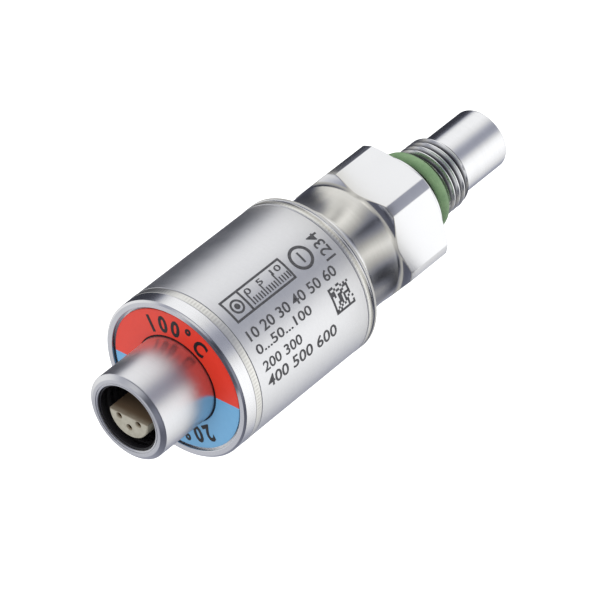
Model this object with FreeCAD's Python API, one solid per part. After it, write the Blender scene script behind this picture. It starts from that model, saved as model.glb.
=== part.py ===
import FreeCAD, Part
import math
import os

# Pressure and temperature transmitter: a steel housing welded between a turned stud fitting
# and a front cap, with a round plug socket on the cap.
#
# Frame: the stud's thread axis is Z, and +Z points to the plug socket. The origin is on that
# axis, half way along the thread. X runs along the flat of the socket's half-round insert, and
# +Y points to the warm half of the ring label. All sizes are in millimetres.

# ---- Driving dimensions ----------------------------------------------------------------

# Stud: smooth probe, M10 x 1 thread, O-ring relief and sealing collar
probe_diameter = 8.5
probe_length = 8.4
probe_edge = 0.3
thread_diameter = 10.0
thread_length = 5.0
thread_chamfer = 0.7
relief_diameter = 8.2
relief_length = 3.65
collar_diameter = 14.0
collar_height = 1.1
collar_edge = 0.15

# O-ring on the relief
o_ring_section = 1.6
o_ring_above_thread = 0.04

# Wrench hexagon, milled on round bar
hex_across_flats = 17.0
hex_bar_diameter = 18.8
hex_length = 8.8
hex_chamfer_angle = 22.0
hex_turn = 18.4

# Neck and rear flange
neck_diameter = 16.8
neck_length = 8.6
neck_fillet = 2.5
flange_step = 0.05
flange_thickness = 1.2
flange_edge = 0.12
flange_spigot_length = 2.0

# Housing tube and front cap
housing_diameter = 22.0
housing_wall = 1.0
housing_length = 21.5
cap_height = 2.5
cap_floor_thickness = 1.8
cap_rim_width = 0.95
cap_rim_depth = 0.45
cap_rim_chamfer = 0.28
cap_rim_chamfer_depth = 0.15
cap_skirt_length = 2.0
cap_skirt_wall = 1.05
weld_spigot_clearance = 0.04

# Ring label
label_thickness = 0.2
label_edge_gap = 0.3
label_hole_clearance = 0.2

# Plug socket: metal shell, gasket, ring nut, dark liner
socket_diameter = 11.9
socket_height = 9.5
socket_bore = 9.1
socket_wall_depth = 8.75
socket_front_chamfer = 0.65
socket_front_chamfer_depth = 0.25
socket_bore_chamfer = 0.12
socket_shoulder = 0.75
socket_stem_wall = 1.6
socket_stem_length = 4.6
gasket_thickness = 0.6
nut_diameter = 15.6
nut_thickness = 1.8
nut_slot_width = 1.6
nut_slot_count = 4
liner_wall = 0.2
liner_recess = 0.3
fit_clearance = 0.03

# Contact insert: half-round tongue on a round base
insert_tongue_diameter = 6.0
insert_flat = 0.1
insert_recess = 0.37
insert_base_thickness = 1.5
insert_stem_length = 5.0
insert_edge = 0.12

# Five contacts on one circle: three sockets in the tongue, two pins beside it
contact_circle = 3.16
contact_count = 5
contact_first_angle = 54.0
contact_pin_diameter = 0.6
contact_pin_recess = 2.9
contact_pin_taper = 0.24
contact_mouth_diameter = 0.7
contact_mouth_depth = 0.35
contact_tube_diameter = 1.0
contact_tube_bore = 0.6
contact_tube_depth = 5.0
contact_tail_length = 2.6

# Bores in the stud: pressure channel to the cell, blind pocket for the temperature element
channel_diameter = 1.6
channel_offset = 2.0
channel_countersink = 0.2
pocket_diameter = 1.7
pocket_offset = 1.9
pocket_end_wall = 1.4
element_width = 1.0
element_depth = 0.8
element_length = 2.4
lead_diameter = 0.25
lead_spacing = 0.5

# Pressure cell with its gauge film and bond wires
cell_diameter = 8.0
cell_height = 5.0
cell_offset = 3.4
cell_foot_diameter = 8.6
cell_foot_height = 0.8
cell_cavity_diameter = 4.8
cell_membrane = 0.5
gauge_diameter = 4.4
gauge_thickness = 0.15
bond_wire_width = 0.16
bond_wire_rise = 0.6
bond_wire_angles = (-110.0, -70.0, 70.0, 110.0)

# Three stacked boards, the pillars that carry them and the pins that join them
board_thickness = 1.0
board_clearance = 0.6
cell_above_board = 0.2
board_hole_clearance = 0.2
lead_hole_diameter = 1.2
board_gap = 4.0
standoff_diameter = 2.4
standoff_circle = 14.8
standoff_angle = 55.0
pin_count = 4
pin_pitch = 2.0
pin_row = 5.4
pin_width = 0.5
pin_standout = 0.3
pin_strip_width = 1.6

# Parts soldered to the boards
chip_side = 5.0
chip_height = 1.2
chip_row = -3.6
driver_length = 4.0
driver_width = 2.4
driver_row = -5.6
capacitor_size = (2.4, 1.4, 1.8)
capacitor_circle = 11.6
capacitor_angles = (76.0, 104.0, 165.0, 195.0)
resistor_size = (1.6, 0.8, 0.5)
resistor_circle = 13.0
resistor_angles = (90.0, 120.0, 150.0, 180.0, 210.0, 240.0)

# ---- Levels along the axis, all worked out from the sizes above -------------------------

thread_top = thread_length / 2
thread_end = -thread_length / 2
probe_end = thread_end - probe_length
collar_face = thread_top + relief_length
hex_bottom = collar_face + collar_height
hex_top = hex_bottom + hex_length
flange_back = hex_top + neck_length
housing_back = flange_back + flange_thickness
fitting_top = housing_back + flange_spigot_length
housing_front = housing_back + housing_length
cap_front = housing_front + cap_height
cap_floor = cap_front - cap_rim_depth
cap_inside = cap_floor - cap_floor_thickness
skirt_end = housing_front - cap_skirt_length
gasket_seat = cap_floor - gasket_thickness
socket_front = cap_floor + socket_height
socket_floor = socket_front - socket_wall_depth
stem_end = cap_floor - socket_stem_length
insert_front = socket_front - insert_recess
insert_base_top = socket_floor + insert_base_thickness
insert_end = socket_floor - insert_stem_length
contact_pin_tip = socket_front - contact_pin_recess
contact_tube_front = insert_front - contact_mouth_depth
contact_tail_end = insert_end - contact_tail_length
cell_top = fitting_top + cell_height
cell_board_top = cell_top - cell_above_board
cell_board_bottom = cell_board_top - board_thickness
output_board_top = contact_tail_end
output_board_bottom = output_board_top - board_thickness
amplifier_board_top = output_board_bottom - board_gap
amplifier_board_bottom = amplifier_board_top - board_thickness
pocket_end = probe_end + pocket_end_wall

# ---- Radii shared by pieces that fit each other -----------------------------------------

housing_inner = housing_diameter / 2 - housing_wall
flange_radius = housing_diameter / 2 + flange_step
spigot_radius = housing_inner - weld_spigot_clearance
gasket_radius = socket_diameter / 2 + label_hole_clearance
rim_inner = housing_diameter / 2 - cap_rim_width
label_radius = rim_inner - label_edge_gap
board_radius = housing_inner - board_clearance
liner_radius = socket_bore / 2 - fit_clearance
base_radius = liner_radius - liner_wall - fit_clearance
contact_radius = contact_circle / 2
stem_radius = socket_diameter / 2 - socket_shoulder
stem_bore_radius = stem_radius - socket_stem_wall

ORIGIN = FreeCAD.Vector(0, 0, 0)
UP = FreeCAD.Vector(0, 0, 1)


# ---- Shape helpers ----------------------------------------------------------------------

def turned(corners):
    """Solid turned about Z. The closed outline's corners are (radius, height), or
    (radius, height, rounding) where a corner is rounded."""
    points = [FreeCAD.Vector(corner[0], 0, corner[1]) for corner in corners]
    edges = []
    ends = []
    for i, corner in enumerate(corners):
        here = points[i]
        rounding = corner[2] if len(corner) == 3 else 0
        if not rounding:
            ends.append((here, here))
            continue
        back = (points[i - 1] - here).normalize()
        ahead = (points[(i + 1) % len(points)] - here).normalize()
        half = back.getAngle(ahead) / 2
        inward = (back + ahead).normalize()
        start = here + back * (rounding / math.tan(half))
        end = here + ahead * (rounding / math.tan(half))
        middle = here + inward * (rounding / math.sin(half) - rounding)
        edges.append(Part.Arc(start, middle, end).toShape())
        ends.append((start, end))
    for i in range(len(corners)):
        start = ends[i][1]
        end = ends[(i + 1) % len(ends)][0]
        if start.distanceToPoint(end) > 1e-6:
            edges.append(Part.LineSegment(start, end).toShape())
    wire = Part.Wire(Part.__sortEdges__(edges))
    return Part.Face(wire).revolve(ORIGIN, UP, 360)


def rod(diameter, bottom, top, x=0.0, y=0.0):
    """Round bar parallel to Z."""
    return Part.makeCylinder(diameter / 2, top - bottom, FreeCAD.Vector(x, y, bottom), UP)


def prism(radius, sides, bottom, top, turn=0.0):
    """Upright prism whose corners lie on a circle."""
    corners = []
    for i in range(sides + 1):
        x, y = on_circle(radius, turn + 360 * i / sides)
        corners.append(FreeCAD.Vector(x, y, bottom))
    return Part.Face(Part.makePolygon(corners)).extrude(UP * (top - bottom))


def block(size, x, y, bottom, angle=0.0):
    """Block of (length, width, height) centred on x, y and turned about Z by an angle."""
    length, width, height = size
    shape = Part.makeBox(length, width, height, FreeCAD.Vector(-length / 2, -width / 2, bottom))
    shape.rotate(ORIGIN, UP, angle)
    shape.translate(FreeCAD.Vector(x, y, 0))
    return shape


def on_circle(radius, angle):
    """The x and y of a point on a circle about the axis."""
    turn = math.radians(angle)
    return radius * math.cos(turn), radius * math.sin(turn)


def group(shapes):
    """Several separate solids as one node."""
    return Part.makeCompound(shapes)


# ---- Stud fitting -----------------------------------------------------------------------

def hexagon():
    """The wrench hexagon: round bar with a cone at each end, milled to six flats. The flats
    cut away the middle of each cone, so its edge dips across every flat, and they leave a
    strip of the bar between them."""
    bar = hex_bar_diameter / 2
    neck = neck_diameter / 2
    collar = collar_diameter / 2
    slope = math.tan(math.radians(hex_chamfer_angle))
    blank = turned([
        (0, hex_bottom),
        (collar, hex_bottom),
        (bar, hex_bottom + (bar - collar) * slope),
        (bar, hex_top - (bar - neck) * slope),
        (neck, hex_top),
        (0, hex_top),
    ])
    corner_radius = hex_across_flats / 2 / math.cos(math.radians(30))
    flats = prism(corner_radius, 6, hex_bottom, hex_top, hex_turn + 30)
    return blank.common(flats)


def process_fitting():
    """One turned and milled piece: probe, threaded stud, relief, collar, hexagon, neck and
    the flange that closes the housing. The thread is a plain cylinder of its crest diameter."""
    probe = probe_diameter / 2
    thread = thread_diameter / 2
    relief = relief_diameter / 2
    collar = collar_diameter / 2
    neck = neck_diameter / 2
    fillet = min(neck_fillet, flange_radius - flange_edge - neck)
    body = turned([
        (0, probe_end),
        (probe - probe_edge, probe_end),
        (probe, probe_end + probe_edge),
        (probe, thread_end),
        (thread - thread_chamfer, thread_end),
        (thread, thread_end + thread_chamfer),
        (thread, thread_top),
        (relief, thread_top),
        (relief, collar_face),
        (collar - collar_edge, collar_face),
        (collar, collar_face + collar_edge),
        (collar, hex_bottom + collar_height),
        (neck, hex_bottom + collar_height),
        (neck, flange_back, fillet),
        (flange_radius - flange_edge, flange_back),
        (flange_radius, flange_back + flange_edge),
        (flange_radius, housing_back),
        (spigot_radius, housing_back),
        (spigot_radius, fitting_top),
        (0, fitting_top),
    ])
    body = body.fuse(hexagon())
    channel = rod(channel_diameter, probe_end, fitting_top, -channel_offset)
    mouth_radius = channel_diameter / 2 + channel_countersink
    mouth = Part.makeCone(mouth_radius, channel_diameter / 2, channel_countersink,
                          FreeCAD.Vector(-channel_offset, 0, probe_end), UP)
    pocket = rod(pocket_diameter, pocket_end, fitting_top, pocket_offset)
    return body.cut(channel.fuse(mouth)).cut(pocket).removeSplitter()


def process_o_ring():
    """O-ring on the relief, resting just above the thread."""
    centre_radius = relief_diameter / 2 + fit_clearance + o_ring_section / 2
    height = thread_top + o_ring_above_thread + o_ring_section / 2
    centre = FreeCAD.Vector(0, 0, height)
    return Part.makeTorus(centre_radius, o_ring_section / 2, centre, UP)


# ---- Housing, cap and label -------------------------------------------------------------

def housing_tube():
    """Drawn tube, welded to the flange at its back and to the cap at its front."""
    outer = housing_diameter / 2
    return turned([
        (housing_inner, housing_back),
        (outer, housing_back),
        (outer, housing_front),
        (housing_inner, housing_front),
    ])


def front_cap():
    """Turned lid: a raised rim round the label, a skirt inside the tube, and a stepped hole
    for the plug socket's stem and its gasket."""
    outer = housing_diameter / 2
    hole = stem_radius + fit_clearance
    gasket_pocket = gasket_radius + fit_clearance
    skirt_inner = spigot_radius - cap_skirt_wall
    return turned([
        (hole, cap_inside),
        (hole, gasket_seat),
        (gasket_pocket, gasket_seat),
        (gasket_pocket, cap_floor),
        (rim_inner, cap_floor),
        (rim_inner, cap_front),
        (outer - cap_rim_chamfer, cap_front),
        (outer, cap_front - cap_rim_chamfer_depth),
        (outer, housing_front),
        (spigot_radius, housing_front),
        (spigot_radius, skirt_end),
        (skirt_inner, skirt_end),
        (skirt_inner, cap_inside),
    ])


def ring_label():
    """Printed ring on the cap's floor, inside the rim."""
    hole = gasket_radius + label_hole_clearance
    return turned([
        (hole, cap_floor),
        (label_radius, cap_floor),
        (label_radius, cap_floor + label_thickness),
        (hole, cap_floor + label_thickness),
    ])


# ---- Plug socket ------------------------------------------------------------------------

def socket_shell():
    """Turned shell: open barrel above the cap, and a stem through it that takes the nut."""
    outer = socket_diameter / 2
    bore = socket_bore / 2
    return turned([
        (stem_bore_radius, stem_end),
        (stem_radius, stem_end),
        (stem_radius, cap_floor),
        (outer, cap_floor),
        (outer, socket_front - socket_front_chamfer_depth),
        (outer - socket_front_chamfer, socket_front),
        (bore + socket_bore_chamfer, socket_front),
        (bore, socket_front - socket_bore_chamfer),
        (bore, socket_floor),
        (stem_bore_radius, socket_floor),
    ])


def socket_gasket():
    """Flat gasket under the shell's shoulder. Its edge shows as a dark ring."""
    inner = stem_radius + fit_clearance
    return turned([
        (inner, gasket_seat),
        (gasket_radius, gasket_seat),
        (gasket_radius, cap_floor),
        (inner, cap_floor),
    ])


def socket_nut():
    """Slotted ring nut that pulls the shell down from inside the cap."""
    inner = stem_radius + fit_clearance
    outer = nut_diameter / 2
    bottom = cap_inside - nut_thickness
    nut = turned([
        (inner, bottom),
        (outer, bottom),
        (outer, cap_inside),
        (inner, cap_inside),
    ])
    slot_depth = outer - inner
    for i in range(nut_slot_count):
        turn = 360 * i / nut_slot_count
        x, y = on_circle(outer, turn)
        slot = (slot_depth, nut_slot_width, nut_thickness / 2)
        nut = nut.cut(block(slot, x, y, bottom, turn))
    return nut


def socket_liner():
    """Thin dark sleeve inside the barrel, a little below its front edge."""
    inner = liner_radius - liner_wall
    return turned([
        (inner, socket_floor),
        (liner_radius, socket_floor),
        (liner_radius, socket_front - liner_recess),
        (inner, socket_front - liner_recess),
    ])


def contact_angles():
    """The two pins come first, then the three sockets."""
    step = 360 / contact_count
    return [contact_first_angle + step * i for i in range(contact_count)]


def contact_insert():
    """Moulded insert: half-round tongue, round base on the barrel's floor and a stem through
    it. Each contact has its own hole."""
    tongue = turned([
        (0, insert_base_top),
        (insert_tongue_diameter / 2, insert_base_top),
        (insert_tongue_diameter / 2, insert_front - insert_edge),
        (insert_tongue_diameter / 2 - insert_edge, insert_front),
        (0, insert_front),
    ])
    reach = insert_tongue_diameter
    above = Part.makeBox(reach, reach, insert_front - insert_base_top,
                         FreeCAD.Vector(-reach / 2, insert_flat, insert_base_top))
    core_radius = stem_bore_radius - fit_clearance
    base = turned([
        (0, insert_end),
        (core_radius, insert_end),
        (core_radius, socket_floor),
        (base_radius, socket_floor),
        (base_radius, insert_base_top),
        (0, insert_base_top),
    ])
    insert = tongue.cut(above).fuse(base)
    tube_end = contact_tube_front - contact_tube_depth
    for i, angle in enumerate(contact_angles()):
        x, y = on_circle(contact_radius, angle)
        clear = 2 * fit_clearance
        insert = insert.cut(rod(contact_pin_diameter + clear, insert_end, contact_pin_tip, x, y))
        if i >= 2:
            tube = rod(contact_tube_diameter + clear, tube_end, contact_tube_front, x, y)
            mouth = rod(contact_mouth_diameter, contact_tube_front, insert_front, x, y)
            insert = insert.cut(tube.fuse(mouth))
    return insert.removeSplitter()


def socket_contacts():
    """Three contact tubes in the tongue, each with a solder tail down to the board."""
    tube_end = contact_tube_front - contact_tube_depth
    contacts = []
    for angle in contact_angles()[2:]:
        x, y = on_circle(contact_radius, angle)
        contact = turned([
            (0, contact_tail_end),
            (contact_pin_diameter / 2, contact_tail_end),
            (contact_pin_diameter / 2, tube_end),
            (contact_tube_diameter / 2, tube_end),
            (contact_tube_diameter / 2, contact_tube_front),
            (contact_tube_bore / 2, contact_tube_front),
            (contact_tube_bore / 2, tube_end + contact_tube_bore),
            (0, tube_end + contact_tube_bore),
        ])
        contact.translate(FreeCAD.Vector(x, y, 0))
        contacts.append(contact)
    return group(contacts)


def pin_contacts():
    """Two pins with tapered ends that stand in the free half of the barrel."""
    radius = contact_pin_diameter / 2
    contacts = []
    for angle in contact_angles()[:2]:
        x, y = on_circle(contact_radius, angle)
        pin = turned([
            (0, contact_tail_end),
            (radius, contact_tail_end),
            (radius, contact_pin_tip - contact_pin_taper),
            (radius - contact_pin_taper / 2, contact_pin_tip),
            (0, contact_pin_tip),
        ])
        pin.translate(FreeCAD.Vector(x, y, 0))
        contacts.append(pin)
    return group(contacts)


# ---- Measuring parts --------------------------------------------------------------------

def pressure_cell():
    """Steel cup welded over the pressure channel, with a thin membrane as its top."""
    cavity = cell_cavity_diameter / 2
    cup = turned([
        (cavity, fitting_top),
        (cell_foot_diameter / 2, fitting_top),
        (cell_foot_diameter / 2, fitting_top + cell_foot_height),
        (cell_diameter / 2, fitting_top + cell_foot_height),
        (cell_diameter / 2, cell_top),
        (0, cell_top),
        (0, cell_top - cell_membrane),
        (cavity, cell_top - cell_membrane),
    ])
    cup.translate(FreeCAD.Vector(-cell_offset, 0, 0))
    return cup


def gauge_film():
    """Resistor film on the membrane."""
    return rod(gauge_diameter, cell_top, cell_top + gauge_thickness, -cell_offset)


def bond_wires():
    """Fine flat wires that arch from the gauge film to pads on the cell board."""
    gauge_top = cell_top + gauge_thickness
    inner = gauge_diameter / 2 - bond_wire_width
    outer = cell_diameter / 2 + 2 * board_hole_clearance + bond_wire_width
    crown = gauge_top + bond_wire_rise
    under = crown - bond_wire_width
    outline = [
        (inner, gauge_top),
        (inner, crown),
        (outer, crown),
        (outer, cell_board_top),
        (outer - bond_wire_width, cell_board_top),
        (outer - bond_wire_width, under),
        (inner + bond_wire_width, under),
        (inner + bond_wire_width, gauge_top),
    ]
    corners = [FreeCAD.Vector(radius, -bond_wire_width / 2, height) for radius, height in outline]
    arch = Part.Face(Part.makePolygon(corners + corners[:1]))
    wires = []
    for angle in bond_wire_angles:
        wire = arch.extrude(FreeCAD.Vector(0, bond_wire_width, 0))
        wire.rotate(ORIGIN, UP, angle)
        wire.translate(FreeCAD.Vector(-cell_offset, 0, 0))
        wires.append(wire)
    return group(wires)


def temperature_element():
    """Resistance element at the bottom of the blind pocket in the probe."""
    return block((element_width, element_depth, element_length), pocket_offset, 0, pocket_end)


def temperature_leads():
    """Two leads from the element up to the amplifier board."""
    bottom = pocket_end + element_length
    places = (pocket_offset - lead_spacing / 2, pocket_offset + lead_spacing / 2)
    return group([rod(lead_diameter, bottom, amplifier_board_bottom, x) for x in places])


# ---- Electronics ------------------------------------------------------------------------

def pin_places():
    """The y of each pin of the strip, centred on the axis."""
    first = -pin_pitch * (pin_count - 1) / 2
    return [first + pin_pitch * i for i in range(pin_count)]


def pin_holes(shape, bottom, top):
    """The shape with a square hole for each stacking pin."""
    side = pin_width + 2 * fit_clearance
    for y in pin_places():
        shape = shape.cut(block((side, side, top - bottom), pin_row, y, bottom))
    return shape


def board(bottom):
    """Eight-sided circuit board with a row of holes for the stacking pins."""
    top = bottom + board_thickness
    return pin_holes(prism(board_radius, 8, bottom, top, 22.5), bottom, top)


def cell_board():
    """Lowest board, cut out round the pressure cell and the temperature leads."""
    blank = board(cell_board_bottom)
    cell_hole = cell_diameter + 2 * board_hole_clearance
    blank = blank.cut(rod(cell_hole, cell_board_bottom, cell_board_top, -cell_offset))
    return blank.cut(rod(lead_hole_diameter, cell_board_bottom, cell_board_top, pocket_offset))


def standoffs(bottom, top):
    """Four hexagonal pillars that carry a board."""
    pillars = []
    for angle in (standoff_angle, 180 - standoff_angle, 180 + standoff_angle, -standoff_angle):
        pillar = prism(standoff_diameter / 2, 6, bottom, top)
        x, y = on_circle(standoff_circle / 2, angle)
        pillar.translate(FreeCAD.Vector(x, y, 0))
        pillars.append(pillar)
    return group(pillars)


def stacking_pins():
    """Square pins that join the three boards."""
    bottom = cell_board_bottom - pin_standout
    length = output_board_top + pin_standout - bottom
    return group([block((pin_width, pin_width, length), pin_row, y, bottom) for y in pin_places()])


def pin_strip(bottom, top):
    """Moulded strip that holds the pins between two boards."""
    strip = block((pin_strip_width, pin_pitch * pin_count, top - bottom), pin_row, 0, bottom)
    return pin_holes(strip, bottom, top)


def amplifier_chip():
    """Signal amplifier on the middle board."""
    return block((chip_side, chip_side, chip_height), 0, chip_row, amplifier_board_top)


def output_driver():
    """Output driver on the top board."""
    return block((driver_length, driver_width, chip_height), 0, driver_row, output_board_top)


def capacitors():
    """Block capacitors near the edge of the middle board."""
    parts = []
    for angle in capacitor_angles:
        x, y = on_circle(capacitor_circle / 2, angle)
        parts.append(block(capacitor_size, x, y, amplifier_board_top, angle + 90))
    return group(parts)


def resistors():
    """Small resistors near the edge of the top board."""
    parts = []
    for angle in resistor_angles:
        x, y = on_circle(resistor_circle / 2, angle)
        parts.append(block(resistor_size, x, y, output_board_top, angle + 90))
    return group(parts)


# ---- Nodes ------------------------------------------------------------------------------

NODES = {
    "process_fitting": process_fitting(),
    "process_o_ring": process_o_ring(),
    "housing_tube": housing_tube(),
    "front_cap": front_cap(),
    "ring_label": ring_label(),
    "socket_shell": socket_shell(),
    "socket_gasket": socket_gasket(),
    "socket_nut": socket_nut(),
    "socket_liner": socket_liner(),
    "contact_insert": contact_insert(),
    "socket_contacts": socket_contacts(),
    "pin_contacts": pin_contacts(),
    "pressure_cell": pressure_cell(),
    "gauge_film": gauge_film(),
    "bond_wires": bond_wires(),
    "temperature_element": temperature_element(),
    "temperature_leads": temperature_leads(),
    "cell_board": cell_board(),
    "amplifier_board": board(amplifier_board_bottom),
    "output_board": board(output_board_bottom),
    "lower_standoffs": standoffs(fitting_top, cell_board_bottom),
    "middle_standoffs": standoffs(cell_board_top, amplifier_board_bottom),
    "upper_standoffs": standoffs(amplifier_board_top, output_board_bottom),
    "stacking_pins": stacking_pins(),
    "lower_pin_strip": pin_strip(cell_board_top, amplifier_board_bottom),
    "upper_pin_strip": pin_strip(amplifier_board_top, output_board_bottom),
    "amplifier_chip": amplifier_chip(),
    "output_driver": output_driver(),
    "capacitors": capacitors(),
    "resistors": resistors(),
}

os.makedirs("parts", exist_ok=True)
for name, shape in NODES.items():
    shape.exportStep("parts/" + name + ".step")
    print(name, len(shape.Solids), "solids", round(shape.Volume, 3), "mm3", shape.isValid())
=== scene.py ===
"""Pressure transmitter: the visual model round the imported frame, with its studio.

Every measure below is in millimetres and degrees until a mesh is made. The stud's axis is Z, and
+Z points to the plug socket.
"""
import math

import bmesh
import bpy
import numpy as np
from mathutils import Matrix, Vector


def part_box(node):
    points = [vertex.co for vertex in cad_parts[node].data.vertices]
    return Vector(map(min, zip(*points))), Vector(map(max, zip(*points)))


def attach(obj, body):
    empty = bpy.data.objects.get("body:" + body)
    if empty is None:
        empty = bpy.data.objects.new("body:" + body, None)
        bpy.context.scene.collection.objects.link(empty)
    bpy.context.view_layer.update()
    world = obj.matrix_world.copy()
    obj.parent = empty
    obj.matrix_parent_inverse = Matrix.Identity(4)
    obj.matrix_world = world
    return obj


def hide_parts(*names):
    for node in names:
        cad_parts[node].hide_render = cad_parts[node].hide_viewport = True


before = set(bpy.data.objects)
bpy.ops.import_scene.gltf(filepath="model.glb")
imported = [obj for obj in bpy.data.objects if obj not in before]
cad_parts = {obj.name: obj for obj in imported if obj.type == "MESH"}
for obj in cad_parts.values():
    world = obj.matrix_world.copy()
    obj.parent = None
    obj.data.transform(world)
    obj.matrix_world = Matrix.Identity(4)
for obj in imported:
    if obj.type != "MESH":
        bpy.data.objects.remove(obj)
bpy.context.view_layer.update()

MM = 0.001
TAU = 2 * math.pi
MERGE = 0.0001          # vertices nearer than this are one
GUARD = 0.03            # distance of the extra point beside each rounding
ARC_STEP = 12           # degrees to one step of a rounding
LATHE_COLUMNS = 192
SHARP = 40              # degrees between faces, above which an edge is sharp


# ---- Places taken from the frame --------------------------------------------------------

def span(node):
    """Lowest and highest corner of a CAD node."""
    low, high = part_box(node)
    return np.array(low) / MM, np.array(high) / MM


fitting_low, fitting_high = span("process_fitting")
tube_low, tube_high = span("housing_tube")
cap_high = span("front_cap")[1]
label_low, label_high = span("ring_label")
shell_low, shell_high = span("socket_shell")
gasket_low, gasket_high = span("socket_gasket")
liner_low, liner_high = span("socket_liner")
ring_low, ring_high = span("process_o_ring")

probe_end = fitting_low[2]
fitting_top = fitting_high[2]
flange_radius = fitting_high[0]
housing_radius = tube_high[0]
housing_inner = housing_radius - 1.0
spigot_radius = housing_inner - 0.04    # the spigots fit in the tube with this gap
housing_back = tube_low[2]
housing_front = tube_high[2]
cap_front = cap_high[2]
cap_floor = gasket_high[2]
socket_front = shell_high[2]
socket_floor = liner_low[2]

# The fitting's own steps. The origin lies half way along the thread.
thread_half = 2.5
thread_radius = 5.0
thread_pitch = 1.0
thread_depth = 0.6134
thread_foot = 4.3       # radius at which the thread's turns begin, over the probe
thread_runout = 1.7     # slope of the thread's end at the relief
probe_radius = 4.25
relief_radius = 4.1
collar_face = 6.15
collar_radius = 7.0
hex_bottom = 7.25
hex_top = 16.05
hex_apothem = 8.5
hex_bar = 9.4
hex_turn = 18.4
hex_cone = 22
hex_slope = math.tan(math.radians(hex_cone))
shoulder_fillet = 1.5
neck_radius = 8.4
neck_level = 18
neck_fillet = 2.5
flange_back = 24.65
channel_x, channel_radius, channel_mouth = -2.0, 0.8, 1.0
pocket_x, pocket_radius, pocket_end = 1.9, 0.85, probe_end + 1.4

# The plug socket's own steps
socket_bore = 4.55
stem_radius, stem_bore = 5.2, 3.6
gasket_bore = 5.23
contact_circle = 1.58
contact_turns = (198.0, 270.0, 342.0)
mouth_radius = 0.35

# Depth and half width of the grooves beside the welds, and the print's place over its carrier
seam_groove = 0.06
ink_thickness, ink_lift = 0.02, 0.012


# ---- Surfaces ---------------------------------------------------------------------------

def direction(angle):
    """Cosine and sine of an angle in degrees."""
    turn = np.radians(angle)
    return np.cos(turn), np.sin(turn)


def rounded(corners):
    """Closed outline of straight runs with rounded corners, as (radius, height) rows.

    A corner is (radius, height) or (radius, height, rounding). An arc begins rounding / tan(half
    angle) from its corner on each run, and its centre lies rounding / sin(half angle) from the
    corner on the bisector. One point just past each end of the arc keeps the runs flat."""
    points = np.array([corner[:2] for corner in corners], float)
    rows = []
    for i, corner in enumerate(corners):
        here = points[i]
        rounding = corner[2] if len(corner) == 3 else 0
        if not rounding:
            rows.append(here[None])
            continue
        back = points[i - 1] - here
        ahead = points[(i + 1) % len(points)] - here
        back /= np.linalg.norm(back)
        ahead /= np.linalg.norm(ahead)
        half = math.acos(np.clip(back @ ahead, -1, 1)) / 2
        bisector = (back + ahead) / np.linalg.norm(back + ahead)
        reach = rounding / math.tan(half)
        centre = here + bisector * rounding / math.sin(half)
        first = np.arctan2(*(here + back * reach - centre)[::-1])
        last = np.arctan2(*(here + ahead * reach - centre)[::-1])
        sweep = (last - first + math.pi) % TAU - math.pi
        steps = max(2, math.ceil(abs(math.degrees(sweep)) / ARC_STEP))
        turn = first + sweep * np.linspace(0, 1, steps + 1)
        arc = centre + rounding * np.stack([np.cos(turn), np.sin(turn)], 1)
        rows += [(here + back * (reach + GUARD))[None], arc, (here + ahead * (reach + GUARD))[None]]
    return np.concatenate(rows)


def lathe(outline):
    """Grid of a closed outline turned about Z: x = radius cos turn, y = radius sin turn, z = height."""
    rows = np.vstack([outline, outline[:1]])
    across, along = direction(np.linspace(0, 360, LATHE_COLUMNS + 1))
    radius, height = rows[:, :1], rows[:, 1:]
    return np.stack(np.broadcast_arrays(radius * across, radius * along, height), -1)


def faces_of(grid, first=0):
    """Quads between neighbouring rows and columns of a grid, numbered from a first vertex."""
    rows, columns = grid.shape[:2]
    index = np.arange(rows * columns).reshape(rows, columns) + first
    return np.stack([index[:-1, :-1], index[:-1, 1:], index[1:, 1:], index[1:, :-1]], -1).reshape(-1, 4)


def skin(name, *grids, sharp=SHARP):
    """One mesh piece over several grids that meet: vertices nearer than a ten-thousandth of a
    millimetre are merged, which closes seams and poles, and faces are turned outwards."""
    first, corners, quads = 0, [], []
    for grid in grids:
        corners.append(grid.reshape(-1, 3))
        quads.append(faces_of(grid, first))
        first += grid.shape[0] * grid.shape[1]
    mesh = bpy.data.meshes.new(name)
    mesh.from_pydata((np.concatenate(corners) * MM).tolist(), [], np.concatenate(quads).tolist())
    return piece(name, mesh, sharp)


def piece(name, mesh, sharp=SHARP):
    """Object for a finished mesh: doubles merged, faces outwards, smooth except at sharp edges."""
    work = bmesh.new()
    work.from_mesh(mesh)
    bmesh.ops.remove_doubles(work, verts=work.verts, dist=MERGE * MM)
    bmesh.ops.dissolve_degenerate(work, edges=work.edges, dist=MERGE * MM)
    bmesh.ops.recalc_face_normals(work, faces=work.faces)
    work.to_mesh(mesh)
    work.free()
    mesh.shade_smooth()
    mesh.set_sharp_from_angle(angle=math.radians(sharp))
    thing = placed(name, mesh)
    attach(thing, "root")
    return thing


def placed(name, data):
    """An object for its data, at the origin, in the scene."""
    thing = bpy.data.objects.new(name, data)
    bpy.context.scene.collection.objects.link(thing)
    return thing


def grid_mesh(name, grid):
    """Mesh of one grid."""
    mesh = bpy.data.meshes.new(name)
    mesh.from_pydata((grid.reshape(-1, 3) * MM).tolist(), [], faces_of(grid).tolist())
    return mesh


def points_of(mesh):
    """Places of a mesh's vertices, as rows of x, y, z in metres."""
    points = np.empty(len(mesh.vertices) * 3)
    mesh.vertices.foreach_get("co", points)
    return points.reshape(-1, 3)


def mark(mesh, name, values):
    """Gives each vertex a number under a name that a material reads."""
    mesh.attributes.new(name, "FLOAT", "POINT").data.foreach_set("value", values.astype(np.float32))


# ---- Values and finishes ----------------------------------------------------------------

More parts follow.
